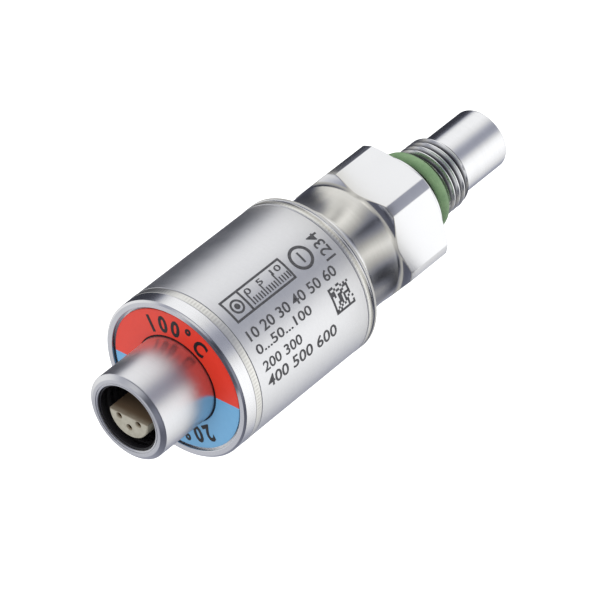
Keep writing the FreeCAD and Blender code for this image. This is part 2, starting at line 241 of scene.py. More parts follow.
class Value:
    """A number that changes over a surface: the output socket of a node. Operators add Math nodes."""

    def __init__(self, finish, socket):
        self.finish, self.socket = finish, socket

    def math(self, operation, *values):
        """A Math node of the values alone: self isn't one of them."""
        return self.finish.node("ShaderNodeMath", {"operation": operation}, dict(enumerate(values)))

    def __add__(self, other):
        return self.math("ADD", self, other)

    __radd__ = __add__

    def __sub__(self, other):
        return self.math("SUBTRACT", self, other)

    def __rsub__(self, other):
        return self.math("SUBTRACT", other, self)

    def __mul__(self, other):
        return self.math("MULTIPLY", self, other)

    __rmul__ = __mul__

    def __pow__(self, other):
        return self.math("POWER", self, other)

    def __gt__(self, other):
        return self.math("GREATER_THAN", self, other)

    def __abs__(self):
        return self.math("ABSOLUTE", self)

    def smooth(self, low, high):
        """0 below low, 1 above high, and a smooth step between."""
        return self.finish.node("ShaderNodeMapRange", {"interpolation_type": "SMOOTHSTEP"},
                                {0: self, 1: low, 2: high})


class Finish:
    """A node material. The shader's constants are set on its own sockets."""

    def __init__(self, name, shader="ShaderNodeBsdfPrincipled", world=None, **constants):
        owner = world or bpy.data.materials.new(name)
        owner.use_nodes = True
        self.material, self.tree = owner, owner.node_tree
        self.tree.nodes.clear()
        self.output = self.tree.nodes.new("ShaderNodeOutputWorld" if world else "ShaderNodeOutputMaterial")
        self.shader = self.tree.nodes.new(shader)
        for key, value in constants.items():
            self.shader.inputs[key.replace("_", " ")].default_value = value
        self.tree.links.new(self.shader.outputs[0], self.output.inputs["Surface"])

    def node(self, kind, settings=None, values=None, output=0):
        """Adds a node: its settings first, then its sockets' values or links."""
        node = self.tree.nodes.new(kind)
        for key, value in (settings or {}).items():
            setattr(node, key, value)
        for key, value in (values or {}).items():
            self.link(value, node.inputs[key])
        return Value(self, node.outputs[output])

    def attribute(self, name):
        """A number that the mesh holds under a name."""
        return self.node("ShaderNodeAttribute", {"attribute_name": name}, output=2)

    def link(self, value, socket):
        if isinstance(value, Value):
            self.tree.links.new(value.socket, socket)
        else:
            socket.default_value = value

    def set(self, **inputs):
        for key, value in inputs.items():
            self.link(value, self.shader.inputs[key.replace("_", " ")])

    def place(self):
        """Object coordinates as a vector and as x, y, z in millimetres."""
        vector = self.node("ShaderNodeTexCoord", output="Object")
        parts = [self.node("ShaderNodeSeparateXYZ", {}, {0: vector}, output=i) for i in range(3)]
        return vector, [part * 1000 for part in parts]

    def noise(self, vector, scale, detail=2.0, roughness=0.5):
        return self.node("ShaderNodeTexNoise", {}, {"Vector": vector, "Scale": scale, "Detail": detail,
                                                    "Roughness": roughness})

    def streaks(self, place, across, along):
        """Noise drawn out round the axis: quick along the outline, slow round it."""
        x, y, z = place
        radius = (x * x + y * y) ** 0.5
        vector = self.node("ShaderNodeCombineXYZ", {}, {0: x * along, 1: y * along, 2: z * across})
        return self.node("ShaderNodeTexNoise", {"noise_dimensions": "4D"},
                         {"Vector": vector, "W": radius * across, "Scale": 1.0, "Detail": 2.0})

    def mix(self, first, second, share):
        """Colour between two colours by a share."""
        first, second = [c if isinstance(c, Value) else (*c, 1) for c in (first, second)]
        return self.node("ShaderNodeMix", {"data_type": "RGBA"}, {0: share, 6: first, 7: second}, output=2)

    def bump(self, height, distance):
        """Normal tilted by a height from 0 to 1 over a distance in millimetres."""
        return self.node("ShaderNodeBump", {}, {"Strength": 1.0, "Distance": distance * MM, "Height": height})


def tint(colour, share):
    """A colour made lighter or darker."""
    return tuple(min(1.0, c * share) for c in colour)


def turned_metal(name, colour, roughness, groove=0.004, grain=0.0, cloud=0.05, across=5.0, spread=0.0):
    """Turned metal: fine rings round the axis, a soft grain, and slow clouds of gloss. The rings
    spread a reflection across themselves."""
    finish = Finish(name, Metallic=1.0, Anisotropic=spread, Anisotropic_Rotation=0.25)
    vector, place = finish.place()
    rings = finish.streaks(place, across, 0.25)
    coarse = finish.streaks(place, across / 3, 0.12)
    clouds = finish.noise(vector, 350.0, 3.0)
    height = rings * 0.6 + coarse * 0.4
    shade = rings * 0.5 + clouds * 0.5
    if grain:
        height = height * (1 - grain) + finish.noise(vector, 6500.0, 3.0, 0.7) * grain
        shade = shade * (1 - grain * 0.5) + finish.noise(vector, 3000.0, 4.0, 0.7) * (grain * 0.5)
    finish.set(Base_Color=finish.mix(tint(colour, 0.90 - grain * 0.08), tint(colour, 1.06), shade),
               Roughness=roughness - cloud + (clouds * cloud + rings * cloud),
               Normal=finish.bump(height, groove))
    return finish.material


def moulded(name, dark, light, roughness, scale=900.0, relief=0.01, metallic=0.0, over=None):
    """Plain finish with mottled colour and a fine skin, for plastic, rubber, boards and leads.
    over gives another colour and the share that it covers, from the place."""
    finish = Finish(name, Metallic=metallic)
    vector, place = finish.place()
    mottle = finish.noise(vector, scale, 4.0)
    skin_noise = finish.noise(vector, scale * 6, 3.0)
    colour = finish.mix(dark, light, mottle.smooth(0.3, 0.7))
    finish.set(Base_Color=finish.mix(colour, *over(*place)) if over else colour,
               Roughness=roughness + (skin_noise - 0.5) * 0.15,
               Normal=finish.bump(skin_noise, relief))
    return finish.material


STEEL = (0.80, 0.805, 0.82)
GOLD = (0.80, 0.56, 0.22), (0.90, 0.68, 0.32), 0.25, 1500.0, 0.002, 1.0


def fitting_steel():
    """Turned steel, with smoother milled flats on the hexagon where the attribute milled is 1,
    and painted shade in the roots of the thread, where the colour is darkened."""
    finish = Finish("turned_fitting_steel", Metallic=1.0)
    vector, place = finish.place()
    x, y, z = place
    milled = finish.attribute("milled")
    away = (x * x + y * y) ** 0.5
    # root paints shade into the thread's roots: 1 deep in a root, 0 on the crests and beyond the thread's
    # ends
    root = 1 - away.smooth(thread_radius - 0.5, thread_radius - 0.08)
    root = root * (1 - abs(z).smooth(thread_half - 0.05, thread_half + 0.15))
    rings = finish.streaks(place, 6.0, 0.2)
    coarse = finish.streaks(place, 2.0, 0.1)
    clouds = finish.noise(vector, 300.0, 3.0)
    fine = finish.noise(vector, 4000.0, 3.0)
    height = (rings * 0.6 + coarse * 0.4) * (1 - milled) + fine * milled * 0.4
    worn = finish.mix(tint(STEEL, 0.90), tint(STEEL, 1.05),
                      rings * 0.6 * (1 - milled) + clouds * 0.4 + milled * 0.3)
    # Painted shade: near-black mixed into the roots by root * 0.85
    finish.set(Base_Color=finish.mix(worn, (0.09, 0.09, 0.10), root * 0.85),
               Roughness=0.16 + clouds * 0.05 + milled * 0.05 + root * 0.15,
               Normal=finish.bump(height, 0.003))
    return finish.material


def ring_print():
    """Printed ring: the half at +Y is red and the other light blue, under a thin varnish."""
    finish = Finish("two_colour_print", Coat_Weight=0.12, Coat_Roughness=0.2)
    vector, (_, y, _) = finish.place()
    mottle = finish.noise(vector, 1500.0, 3.0)
    red = finish.mix((0.78, 0.036, 0.014), (0.84, 0.046, 0.020), mottle)
    blue = finish.mix((0.145, 0.41, 0.70), (0.175, 0.455, 0.745), mottle)
    finish.set(Base_Color=finish.mix(blue, red, y > 0.0), Roughness=0.38 + mottle * 0.08,
               Normal=finish.bump(mottle, 0.003))
    return finish.material


def lining_black():
    """Dark lining of the barrel with faint rings."""
    finish = Finish("lining_black")
    rings = finish.streaks(finish.place()[1], 2.2, 0.05)
    finish.set(Base_Color=finish.mix((0.004, 0.004, 0.006), (0.016, 0.015, 0.018), rings),
               Roughness=0.30 + rings * 0.2, Normal=finish.bump(rings, 0.05))
    return finish.material


def weld_metal():
    """Weld bead: pale warm steel, with soot in the furrows of some of its ripples."""
    finish = Finish("weld_bead_steel", Metallic=1.0)
    vector = finish.place()[0]
    clouds = finish.noise(vector, 900.0, 4.0)
    patches = finish.noise(vector, 180.0, 2.0).smooth(0.42, 0.62)
    fine = finish.noise(vector, 7000.0, 3.0)
    furrow = finish.attribute("furrow")
    warm = finish.mix((0.74, 0.735, 0.69), (0.84, 0.837, 0.81), clouds)
    finish.set(Base_Color=finish.mix(warm, (0.34, 0.33, 0.31), furrow * (patches * 0.45 + 0.03)),
               Roughness=0.28 + clouds * 0.1, Normal=finish.bump(fine, 0.004))
    return finish.material


# ---- Stud fitting -----------------------------------------------------------------------

def fitting_columns():
    """Angles of the fitting's columns: close together at the edges between flats and strips."""
    half = math.degrees(math.acos(hex_apothem / hex_bar))
    edge = np.array([0.35, 0.8])
    inner = np.linspace(-half + 2.2, half - 2.2, 22)
    sector = np.concatenate([[-30, -27.6], (-half - edge)[::-1], -half + edge, inner,
                             (half - edge)[::-1], half + edge, [27.6]])
    turns = (hex_turn + 60 * np.arange(6))[:, None] + sector
    columns = turns.reshape(-1)
    return np.append(columns, columns[0] + 360)


def hexagon_radius(columns):
    """Distance of the milled bar's outline: the flat, apothem / cos(angle from its normal), up
    to the bar's own radius."""
    off = (columns - hex_turn + 30) % 60 - 30
    return np.minimum(hex_apothem / np.cos(np.radians(off)), hex_bar)


def rows_at(columns, rows):
    """Grid from rows of (radius, height), each a number or one number per column."""
    across, along = direction(columns)
    made = [np.broadcast_arrays(radius * across, radius * along, height) for radius, height in rows]
    return np.stack([np.stack(row, -1) for row in made])


def thread_grid(columns):
    """Helical thread. A row follows the helix: height = start + pitch * turn / 360. The radius
    comes from the place within a pitch: flat crest, 60 degree flank, flat root. Cones at both
    ends bring it down, and heights are held between the thread's ends."""
    crest = thread_pitch / 16
    flank = math.tan(math.radians(30))
    root = crest + thread_depth * flank
    marks = np.array([crest - 0.02, crest, crest + 0.02, 0.16, 0.24, 0.32, root - 0.02, root])
    marks = np.concatenate([-marks[::-1], marks]) * thread_pitch
    starts = np.arange(-5, 4)[:, None] * thread_pitch + marks
    starts = starts.reshape(-1)[:, None]
    turn = (columns - columns[0])[None] / 360
    height = starts + thread_pitch * turn
    place = np.abs((starts + 0.5) % 1 - 0.5)
    radius = thread_radius - np.clip((place - crest) / flank, 0, thread_depth)
    held = np.clip(height, -thread_half, thread_half)
    lower = thread_foot + (held + thread_half)
    upper = relief_radius + (thread_half - held) * thread_runout
    radius = np.minimum(np.minimum(radius + 0 * turn, lower), upper)
    across, along = direction(columns)
    return np.stack([radius * across, radius * along, held], -1)


def bore_rows(points, centre_x, *steps):
    """Rows of points round a bore, one for each (radius, height), at the angles at which the
    bore's centre sees some given points."""
    across, along = direction(np.degrees(np.arctan2(points[:, 1], points[:, 0] - centre_x)))
    return [np.stack(np.broadcast_arrays(centre_x + radius * across, radius * along, height), -1)
            for radius, height in steps]


def shoulder_height(radius):
    """Height of the hexagon's upper cone at a radius, with a fillet where it meets the neck: a
    circle that touches the cone and the neck, middle - sqrt(fillet^2 - across^2)."""
    cone = hex_top - (radius - neck_radius) * hex_slope
    half_turn = math.radians((90 - hex_cone) / 2)
    middle = hex_top + shoulder_fillet * math.tan(half_turn)
    across = neck_radius + shoulder_fillet - radius
    curve = middle - np.sqrt(np.maximum(shoulder_fillet ** 2 - across ** 2, 0))
    reach = neck_radius + shoulder_fillet * math.tan(half_turn) * math.cos(math.radians(hex_cone))
    return np.where(radius < reach, curve, cone)


def stud_fitting():
    """Probe, thread, relief, collar, hexagon, neck and flange in one closed skin, with the
    pressure channel through it and the blind pocket for the temperature element."""
    columns = fitting_columns()
    count = len(columns) - 1
    edge = hexagon_radius(columns)
    low = hex_bottom + (edge - collar_radius) * hex_slope
    high = shoulder_height(edge)
    soft = np.minimum(0.05, 0.4 * (edge - neck_radius))

    # The top's two halves: an arc of the spigot and the line between them, with each bore's rows
    start = int(np.argmin(np.abs((columns[:-1] - 90 + 180) % 360 - 180)))
    loop = (start + np.arange(count)) % count
    half = count // 2
    arcs = [spigot_radius * np.stack(direction(columns[loop[(first + np.arange(half + 1)) % count]]), 1)
            for first in (0, half)]
    share = np.linspace(-1, 1, half + 1)[1:-1, None]
    line = np.sign(share) * np.abs(share) ** 1.6 * arcs[0][:1]
    left, right = [np.vstack([arc, between, arc[:1]]) for arc, between in zip(arcs, (line, line[::-1]))]
    mouth, throat, channel_top = bore_rows(
        left, channel_x, (channel_mouth, probe_end),
        (channel_radius, probe_end + channel_mouth - channel_radius), (channel_radius, fitting_top))
    pocket = bore_rows(right, pocket_x, (pocket_radius, fitting_top), (pocket_radius, pocket_end),
                       (0.0, pocket_end))

    # From the channel's chamfered mouth over the probe's end to the thread
    around = np.append(loop, loop[0])
    probe = rounded([(0.5, probe_end), (probe_radius, probe_end, 0.3),
                     (probe_radius, -thread_half), (thread_foot, -thread_half), (thread_foot, 0)])[1:-1]
    probe_rows = rows_at(columns[around], probe)
    lower = np.concatenate([throat[None], mouth[None], probe_rows])
    channel_wall = np.stack([throat, channel_top])

    # From the relief over the collar, hexagon, shoulder and neck to the flange
    body = rounded([(0, 0), (relief_radius, thread_half), (relief_radius, collar_face, 0.15),
                    (collar_radius, collar_face, 0.15), (collar_radius, hex_bottom - GUARD),
                    (0, hex_bottom)])[1:-1]
    near, far = 0.05, 0.12      # rows beside the edges keep the shading tight
    rows = [*body, (collar_radius, hex_bottom), (collar_radius + GUARD, hex_bottom + GUARD * hex_slope)]
    rows += [(edge - back, low - back * hex_slope) for back in (far, near)]
    rows += [(edge, low + near), (edge, low + far), (edge, (low + high) / 2)]
    rows += [(edge, high - far), (edge, high - soft)]
    inward = [edge - soft, edge - 2 * soft]
    inward += [np.minimum(inward[-1], neck_radius + shoulder_fillet * (1 - math.cos(math.radians(turn))))
               for turn in (*range(90 - hex_cone, 0, -10), 0)]
    rows += [(radius, shoulder_height(radius)) for radius in inward]
    top_of_fillet = float(shoulder_height(np.array(neck_radius)))
    rows += [(neck_radius, top_of_fillet + GUARD)]
    chamfer, seam_radius, groove = 0.12, housing_radius + 0.01, flange_back + 0.50
    neck = rounded([(0, neck_level), (neck_radius, neck_level), (neck_radius, flange_back, neck_fillet),
                    (flange_radius - chamfer, flange_back), (flange_radius, flange_back + chamfer),
                    (flange_radius, groove - seam_groove), (flange_radius - 0.08, groove),
                    (seam_radius, groove + seam_groove), (seam_radius, housing_back),
                    (spigot_radius, housing_back), (spigot_radius, fitting_top), (0, fitting_top)])[1:-1]
    rows += [*neck]
    upper = rows_at(columns, rows)

    top_left, top_right = [np.column_stack([side, np.full(len(side), fitting_top)]) for side in (left, right)]
    fitting = skin("stud_fitting", lower, thread_grid(columns), upper, channel_wall,
                   np.stack([top_left, channel_top]), np.stack([top_right, *pocket]))
    mark_milled(fitting.data)
    fitting.data.materials.append(fitting_steel())
    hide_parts("process_fitting")


def mark_milled(mesh):
    """Attribute milled: 1 where a point lies on a flat, apothem from the axis along its normal."""
    x, y, z = (points_of(mesh) / MM).T
    off = (np.degrees(np.arctan2(y, x)) - hex_turn + 30) % 60 - 30
    reach = np.hypot(x, y) * np.cos(np.radians(off))
    flat = (np.abs(reach - hex_apothem) < 0.01) & (z > hex_bottom) & (z < hex_top + 0.4)
    mark(mesh, "milled", flat)


# ---- Turned pieces ----------------------------------------------------------------------

def dressed(name, grid, material, node):
    """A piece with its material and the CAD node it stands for."""
    made = skin(name, grid)
    made.data.materials.append(material)
    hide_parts(node)


def o_ring_grid():
    """Torus: radius = centre + section cos turn, height = middle + section sin turn. It is a
    little squeezed and pushed towards the collar."""
    squeeze, push = 0.06, 0.1
    section = (ring_high[2] - ring_low[2]) / 2 - squeeze
    centre = ring_high[0] - section
    middle = (ring_high[2] + ring_low[2]) / 2 + push
    across, along = direction(np.linspace(0, 360, 41)[:-1])
    return lathe(np.stack([centre + section * across, middle + section * along], 1))


def bead_wave(turn, across, ripples):
    """Ripples of a weld, from 0 to 1, which lean along the seam."""
    slant = 1.5
    return 0.5 + 0.5 * np.cos(turn * ripples + slant * across)


def weld_bead(name, seam, half_width, rise):
    """Weld bead: a low arch over the seam, radius = base + rise sin(across) with ripples. Its foot
    is sunk under the sleeve. The number furrow is 1 in the furrows between the ripples."""
    ripples, sunk = 150, 0.1
    low, high = seam - half_width, seam + half_width
    across = np.linspace(0, 1, 13)[:, None]
    turn = np.linspace(0, 360, ripples * 6 + 1)[None]
    wave = bead_wave(np.radians(turn), across, ripples)
    radius = housing_radius + rise * np.sin(math.pi * across) * (0.75 + 0.25 * wave)
    height = low + (high - low) * across + 0 * turn
    cosine, sine = direction(turn)
    foot = housing_radius - sunk
    top = np.stack([radius * cosine, radius * sine, height], -1)
    under = np.stack(np.broadcast_arrays(foot * cosine, foot * sine, np.array([[high], [low]])), -1)
    bead = skin(name, np.concatenate([top, under, top[:1]]), sharp=180)

    x, y, z = (points_of(bead.data) / MM).T
    across = (z - low) / (high - low)
    wave = bead_wave(np.arctan2(y, x), across, ripples)
    mark(bead.data, "furrow", (1 - wave) * np.sin(math.pi * np.clip(across, 0, 1)))
    bead.data.materials.append(weld_metal())


def groove_at(level):
    """Corners of a shallow groove round the sleeve, from the lower edge to the upper."""
    return [(housing_radius, level - seam_groove), (housing_radius - seam_groove, level),
            (housing_radius, level + seam_groove)]


def turned_pieces():
    """Every lathe-turned piece, from outlines of (radius, height, rounding)."""
    inner = housing_inner
    dressed("housing_sleeve", lathe(rounded([
        (inner, housing_back), (housing_radius, housing_back, 0.03),
        *groove_at(housing_back + 0.48), *groove_at(housing_front - 0.60),
        (housing_radius, housing_front, 0.03), (inner, housing_front)])),
        turned_metal("sleeve_satin_steel", STEEL, 0.37, groove=0.022, grain=0.8, cloud=0.08, across=4.0),
        "housing_tube")

    # The lid: seats for the gasket and the label, a groove at the rim's foot, rim and spigot
    spigot_bore, rim = spigot_radius - 1.05, housing_radius - 0.95
    seat, play = gasket_high[0] + 0.03, label_high[0] + 0.03
    lid_back, groove, spigot_end = cap_floor - 1.8, cap_floor - 0.3, housing_front - 2
    dressed("cap_lid", lathe(rounded([
        (gasket_bore, lid_back), (gasket_bore, gasket_low[2]), (seat, gasket_low[2]),
        (seat, cap_floor, 0.04), (play, cap_floor), (play + 0.03, groove), (rim, groove),
        (rim, cap_front, 0.08), (housing_radius - 0.28, cap_front, 0.07),
        (housing_radius, cap_front - 0.18, 0.10), (housing_radius, housing_front, 0.03),
        (spigot_radius, housing_front), (spigot_radius, spigot_end), (spigot_bore, spigot_end),
        (spigot_bore, lid_back)])),
        turned_metal("cap_bright_steel", STEEL, 0.20, groove=0.002, cloud=0.04, across=6.0, spread=0.6),
        "front_cap")

    # The label's hole closes on the gasket
    hole = gasket_high[0] - 0.03
    dressed("two_colour_ring", lathe(rounded([
        (hole, label_low[2]), (label_high[0], label_low[2]), (label_high[0], label_high[2], 0.06),
        (hole, label_high[2], 0.06)])),
        ring_print(), "ring_label")

    # The barrel: stem, outside, chamfer, and a fine step in the front face before the bore
    outer, bore, front, step = shell_high[0], socket_bore, socket_front, socket_front - 0.12
    dressed("plug_barrel", lathe(rounded([
        (stem_bore, shell_low[2]), (stem_radius, shell_low[2]), (stem_radius, cap_floor),
        (outer, cap_floor, 0.05), (outer, front - 0.42, 0.18), (outer - 0.6, front, 0.12),
        (bore + 0.34, front, 0.03), (bore + 0.31, step), (bore + 0.24, step),
        (bore + 0.21, front - 0.02, 0.03), (bore + 0.05, front - 0.04, 0.03), (bore, step, 0.03),
        (bore, socket_floor), (stem_bore, socket_floor)])),
        turned_metal("barrel_nickel", (0.82, 0.825, 0.84), 0.33, grain=0.6, cloud=0.04, across=6.0,
                     spread=0.5),
        "socket_shell")

    dressed("barrel_gasket", lathe(rounded([
        (gasket_bore, gasket_low[2]), (gasket_high[0], gasket_low[2]), (gasket_high[0], cap_floor, 0.1),
        (gasket_bore, cap_floor)])),
        moulded("gasket_rubber", (0.010, 0.010, 0.012), (0.022, 0.022, 0.026), 0.6, 1800.0),
        "socket_gasket")

    # The lining has three fine grooves near its mouth
    top, wall = liner_high[2], liner_high[0] - 0.2
    ridges = [(wall + depth, top - start - along) for start in (1.1, 2.3, 3.5)
              for depth, along in ((0.0, 0.0), (0.05, 0.06), (0.05, 0.2), (0.0, 0.26))]
    dressed("barrel_lining", lathe(rounded(
        [(wall, socket_floor), (liner_high[0], socket_floor), (liner_high[0], top, 0.05),
         (wall, top, 0.06)] + ridges)),
        lining_black(), "socket_liner")

    dressed("sealing_ring", o_ring_grid(),
            moulded("seal_green_rubber", (0.139, 0.248, 0.118), (0.183, 0.300, 0.151), 0.48, 700.0, 0.006),
            "process_o_ring")


# ---- Insert and contacts ----------------------------------------------------------------

def refined(name, nodes, bevel, material):
    """Merged copy of CAD nodes with fine bevels on their edges."""
    work = bmesh.new()
    for node in nodes:
        work.from_mesh(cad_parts[node].data)
    bmesh.ops.remove_doubles(work, verts=work.verts, dist=0.002 * MM)
    bmesh.ops.dissolve_limit(work, angle_limit=math.radians(1.0), verts=work.verts, edges=work.edges)
    mesh = bpy.data.meshes.new(name)
    work.to_mesh(mesh)
    work.free()
    made = piece(name, mesh, 35)
    if bevel:
        edge = made.modifiers.new("edge", "BEVEL")
        edge.width, edge.segments, edge.limit_method = bevel * MM, 2, "ANGLE"
        edge.angle_limit = math.radians(40)
    made.data.materials.clear()
    made.data.materials.append(material)
    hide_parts(*nodes)
    return made


def widen_mouths(mesh, more):
    """Widens the mouth of each contact hole: points of its front edge move away from its middle."""
    points = points_of(mesh)
    across, along = direction(np.array(contact_turns))
    middles = contact_circle * MM * np.stack([across, along], 1)
    off = points[:, None, :2] - middles
    reach = np.linalg.norm(off, axis=2)
    near = reach.argmin(1)
    rows = np.arange(len(points))
    reach, off = reach[rows, near], off[rows, near]
    front = (points[:, 2] > points[:, 2].max() - 0.01 * MM) & (reach < mouth_radius * 1.1 * MM)
    points[front, :2] += off[front] / reach[front, None] * more * MM
    mesh.vertices.foreach_set("co", points.reshape(-1))
    mesh.update()


def insert_painted_shade(x, y, z):
    """Painted shade on the insert: dark brown on its flat side, which lies in the dark bore, more so away
    from the front, and round its mouths.
    """
    # Painted shade on the flat side, weaker towards the front
    painted_shade_share = y.smooth(-0.12, 0.08) * (1 - z.smooth(socket_front - 1.6, socket_front - 0.4) * 0.4)
    # Painted shade round each contact mouth
    for turn in contact_turns:
        across, along = [float(part) * contact_circle for part in direction(turn)]
        away = ((x - across) ** 2 + (y - along) ** 2) ** 0.5
        painted_shade_share = painted_shade_share + (1 - away.smooth(mouth_radius + 0.02, mouth_radius + 0.15)) * 0.7
    # The painted shade's dark brown, and its share
    return (0.13, 0.085, 0.05), (painted_shade_share * 0.9).smooth(0.0, 1.0)


def connector_inside():
    """The half-round insert and its contacts."""
    # The beige plastic gets the painted shade of the insert's flat side and mouths over it
    beige = moulded("insert_beige_plastic", (0.35, 0.33, 0.265), (0.42, 0.40, 0.33), 0.5, 1200.0, 0.008,
                    over=insert_painted_shade)
    gold = moulded("contact_gold_plate", *GOLD)
    insert = refined("half_round_insert", ["contact_insert"], 0.04, beige)
    widen_mouths(insert.data, 0.12)
    refined("contact_tubes", ["socket_contacts"], 0.0, gold)
    refined("contact_pins", ["pin_contacts"], 0.0, gold)


# ---- Markings ---------------------------------------------------------------------------

def flat_text(text, box=None, cut=0.3, bold=0.012):
    """Vertices (x, y) and faces of a line of characters, fitted to a box (width, height) and cut
    across at every level so that it can be bent round the sleeve."""
    curve = bpy.data.curves.new("characters", "FONT")
    curve.body, curve.resolution_u, curve.offset = text, 3, bold
    holder = bpy.data.objects.new("characters", curve)
    mesh = bpy.data.meshes.new_from_object(holder)
    bpy.data.objects.remove(holder)
    points = points_of(mesh)
    low, high = points.min(0), points.max(0)
    if box:
        points = (points - low) * [box[0] / (high[0] - low[0]), box[1] / (high[1] - low[1]), 1]
    mesh.vertices.foreach_set("co", points.reshape(-1))
    return cut_across(mesh, cut)


def cut_across(mesh, cut):
    """Cuts a flat mesh along lines of equal y, and gives its vertices and faces."""
    work = bmesh.new()
    work.from_mesh(mesh)
    bmesh.ops.remove_doubles(work, verts=work.verts, dist=1e-4)
    heights = [vertex.co.y for vertex in work.verts]
    if cut:
        for level in np.arange(min(heights) + cut, max(heights), cut):
            everything = work.verts[:] + work.edges[:] + work.faces[:]
            bmesh.ops.bisect_plane(work, geom=everything, dist=1e-5, plane_co=(0, level, 0),
                                   plane_no=(0, 1, 0))
    work.verts.index_update()
    points = np.array([vertex.co[:2] for vertex in work.verts])
    faces = [[vertex.index for vertex in face.verts] for face in work.faces]
    work.free()
    bpy.data.meshes.remove(mesh)
    return points, faces


def bars(boxes, cut=0.3):
    """Flat rectangles (left, bottom, right, top) as vertices and faces."""
    points, faces = [], []
    for left, bottom, right, top in boxes:
        levels = np.linspace(bottom, top, max(2, math.ceil((top - bottom) / cut) + 1))
        first = sum(len(block) for block in points)
        grid = np.stack(np.meshgrid([left, right], levels), -1)
        points.append(grid.reshape(-1, 2))
        faces += faces_of(grid, first).tolist()
    return np.concatenate(points), faces


def hoop(centre, radius, width):
    """Flat ring: a point is centre + radius (cos turn, sin turn)."""
    across, along = direction(np.linspace(0, 360, 41))
    rings = [np.stack([centre[0] + r * across, centre[1] + r * along], -1)
             for r in (radius - width / 2, radius + width / 2)]
    grid = np.stack(rings)
    return grid.reshape(-1, 2), faces_of(grid).tolist()


def combined(parts):
    """Several (vertices, faces) as one."""
    points, faces = [], []
    for some, cells in parts:
        first = sum(len(block) for block in points)
        points.append(some)
        faces += [[index + first for index in cell] for cell in cells]
    return np.concatenate(points), faces


def on_sleeve(part, height, start, upright=False):
    """Bends a flat figure round the sleeve, from a height and a turn in degrees: x runs towards
    the stud and y round the axis, or, upright, x round the axis and y towards the socket."""
    (x, y), faces = part[0].T, part[1]
    round_axis, rise = (x, y) if upright else (y, -x)
    radius = housing_radius + ink_lift
    turn = np.radians(start) + round_axis / radius
    return np.stack([radius * np.cos(turn), radius * np.sin(turn), height + rise], 1), faces


def marking_piece(name, parts, material):
    """One thin piece from several sets of placed vertices and faces."""
    points, faces = combined(parts)
    mesh = bpy.data.meshes.new(name)
    mesh.from_pydata((points * MM).tolist(), [], faces)
    thing = placed(name, mesh)
    shell = thing.modifiers.new("thickness", "SOLIDIFY")
    shell.thickness, shell.offset = ink_thickness * MM, 0
    mesh.materials.append(material)
    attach(thing, "root")


def framed_scale(degree):
    """A frame with a target and a graduated scale in it."""
    length, height, line = 11.1, 18 * degree, 0.3
    frame_bars = [(0, 0, length, line), (0, height - line, length, height),
                  (0, line, line, height - line), (length - line, line, length, height - line),
                  (3.0, line, 3.0 + line, height - line)]
    for i in range(15):
        tall = 1.7 if i % 5 == 0 else 0.9
        at = 3.75 + i * 0.48
        frame_bars.append((at, line + 0.25, at + 0.2, line + 0.25 + tall))
    middle = (1.65, height / 2)
    numbers, faces = flat_text("0  5  10", (6.6, 0.85))
    return combined([bars(frame_bars), hoop(middle, 0.85, 0.28), hoop(middle, 0.2, 0.4),
                     (numbers + [3.8, height - 1.45], faces)])


def cell_square():
    """A square of cells with two solid sides. The filled cells are a seeded draw and say nothing."""
    draw = np.random.default_rng(7)
    cells, side, filled_share = 12, 0.29, 0.48
    filled = draw.random((cells, cells)) < filled_share
    filled[:, 0] = True
    filled[0, :] = True
    return bars([(i * side, j * side, (i + 1) * side, (j + 1) * side) for i, j in zip(*np.nonzero(filled))])


def sleeve_markings():
    """Plain marks in rows: a framed scale, a hoop, rows of plain numbers and a cell pattern."""
    degree = math.radians(1) * (housing_radius + ink_lift)
    top, upper_row = housing_front - 2.05, 52.5
    high = 17 * degree
    mark_in_hoop = combined([hoop((2.0, high / 2), 1.5, 0.42),
                             bars([(1.86, high / 2 - 0.8, 2.14, high / 2 + 0.8)])])
    parts = [on_sleeve(framed_scale(degree), top, upper_row), on_sleeve(mark_in_hoop, top - 11.6, upper_row)]

    # Rows of plain numbers: text, length, and the turns of the upper and lower edge
    rows = [("10 20 30 40 50 60", 16.4, 46.0, 38.5), ("0...50...100", 10.2, 35.0, 28.5),
            ("200 300", 7.1, 23.5, 16.5), ("400 500 600", 13.0, 13.0, 4.5)]
    for text, wide, upper, lower in rows:
        parts.append(on_sleeve(flat_text(text, (wide, (upper - lower) * degree)), top, lower))
    parts.append(on_sleeve(flat_text("1234", (21 * degree, 1.75)), 27.4, 48.5, upright=True))
    parts.append(on_sleeve(cell_square(), 31.6, 16.0))
    marking_piece("sleeve_markings", parts, moulded("laser_marking", (0.035, 0.035, 0.040),
                                                    (0.075, 0.075, 0.082), 0.55, 3500.0, 0.002))


def ring_numbers():
    """Plain temperatures on the ring: each character stands outwards and the row runs clockwise."""
    foot, head, bold, narrow = 6.7, 9.15, 0.035, 0.86
    size = (head - foot) / np.ptp(flat_text("0", cut=0, bold=bold)[0][:, 1])
    rows = [("100°C", (116.5, 101.5, 87, 73.5, 57.5)), ("20°C", (306, 291.5, 277.5, 263))]
    parts = []
    for text, turns in rows:
        for character, turn in zip(text, turns):
            points, faces = flat_text(character, cut=0, bold=bold)
            points = points * size * [narrow, 1]
            middle = (points[:, 0].min() + points[:, 0].max()) / 2
            across, along = direction(turn)
            out, side = foot + points[:, 1], points[:, 0] - middle
            on_ring = [out * across + side * along, out * along - side * across,
                       np.full(len(points), label_high[2] + ink_lift)]
            parts.append((np.stack(on_ring, 1), faces))
    marking_piece("ring_numbers", parts, moulded("printed_black", (0.008, 0.008, 0.009),
                                                 (0.016, 0.016, 0.018), 0.45, 2500.0, 0.002))


# ---- Pieces inside ----------------------------------------------------------------------

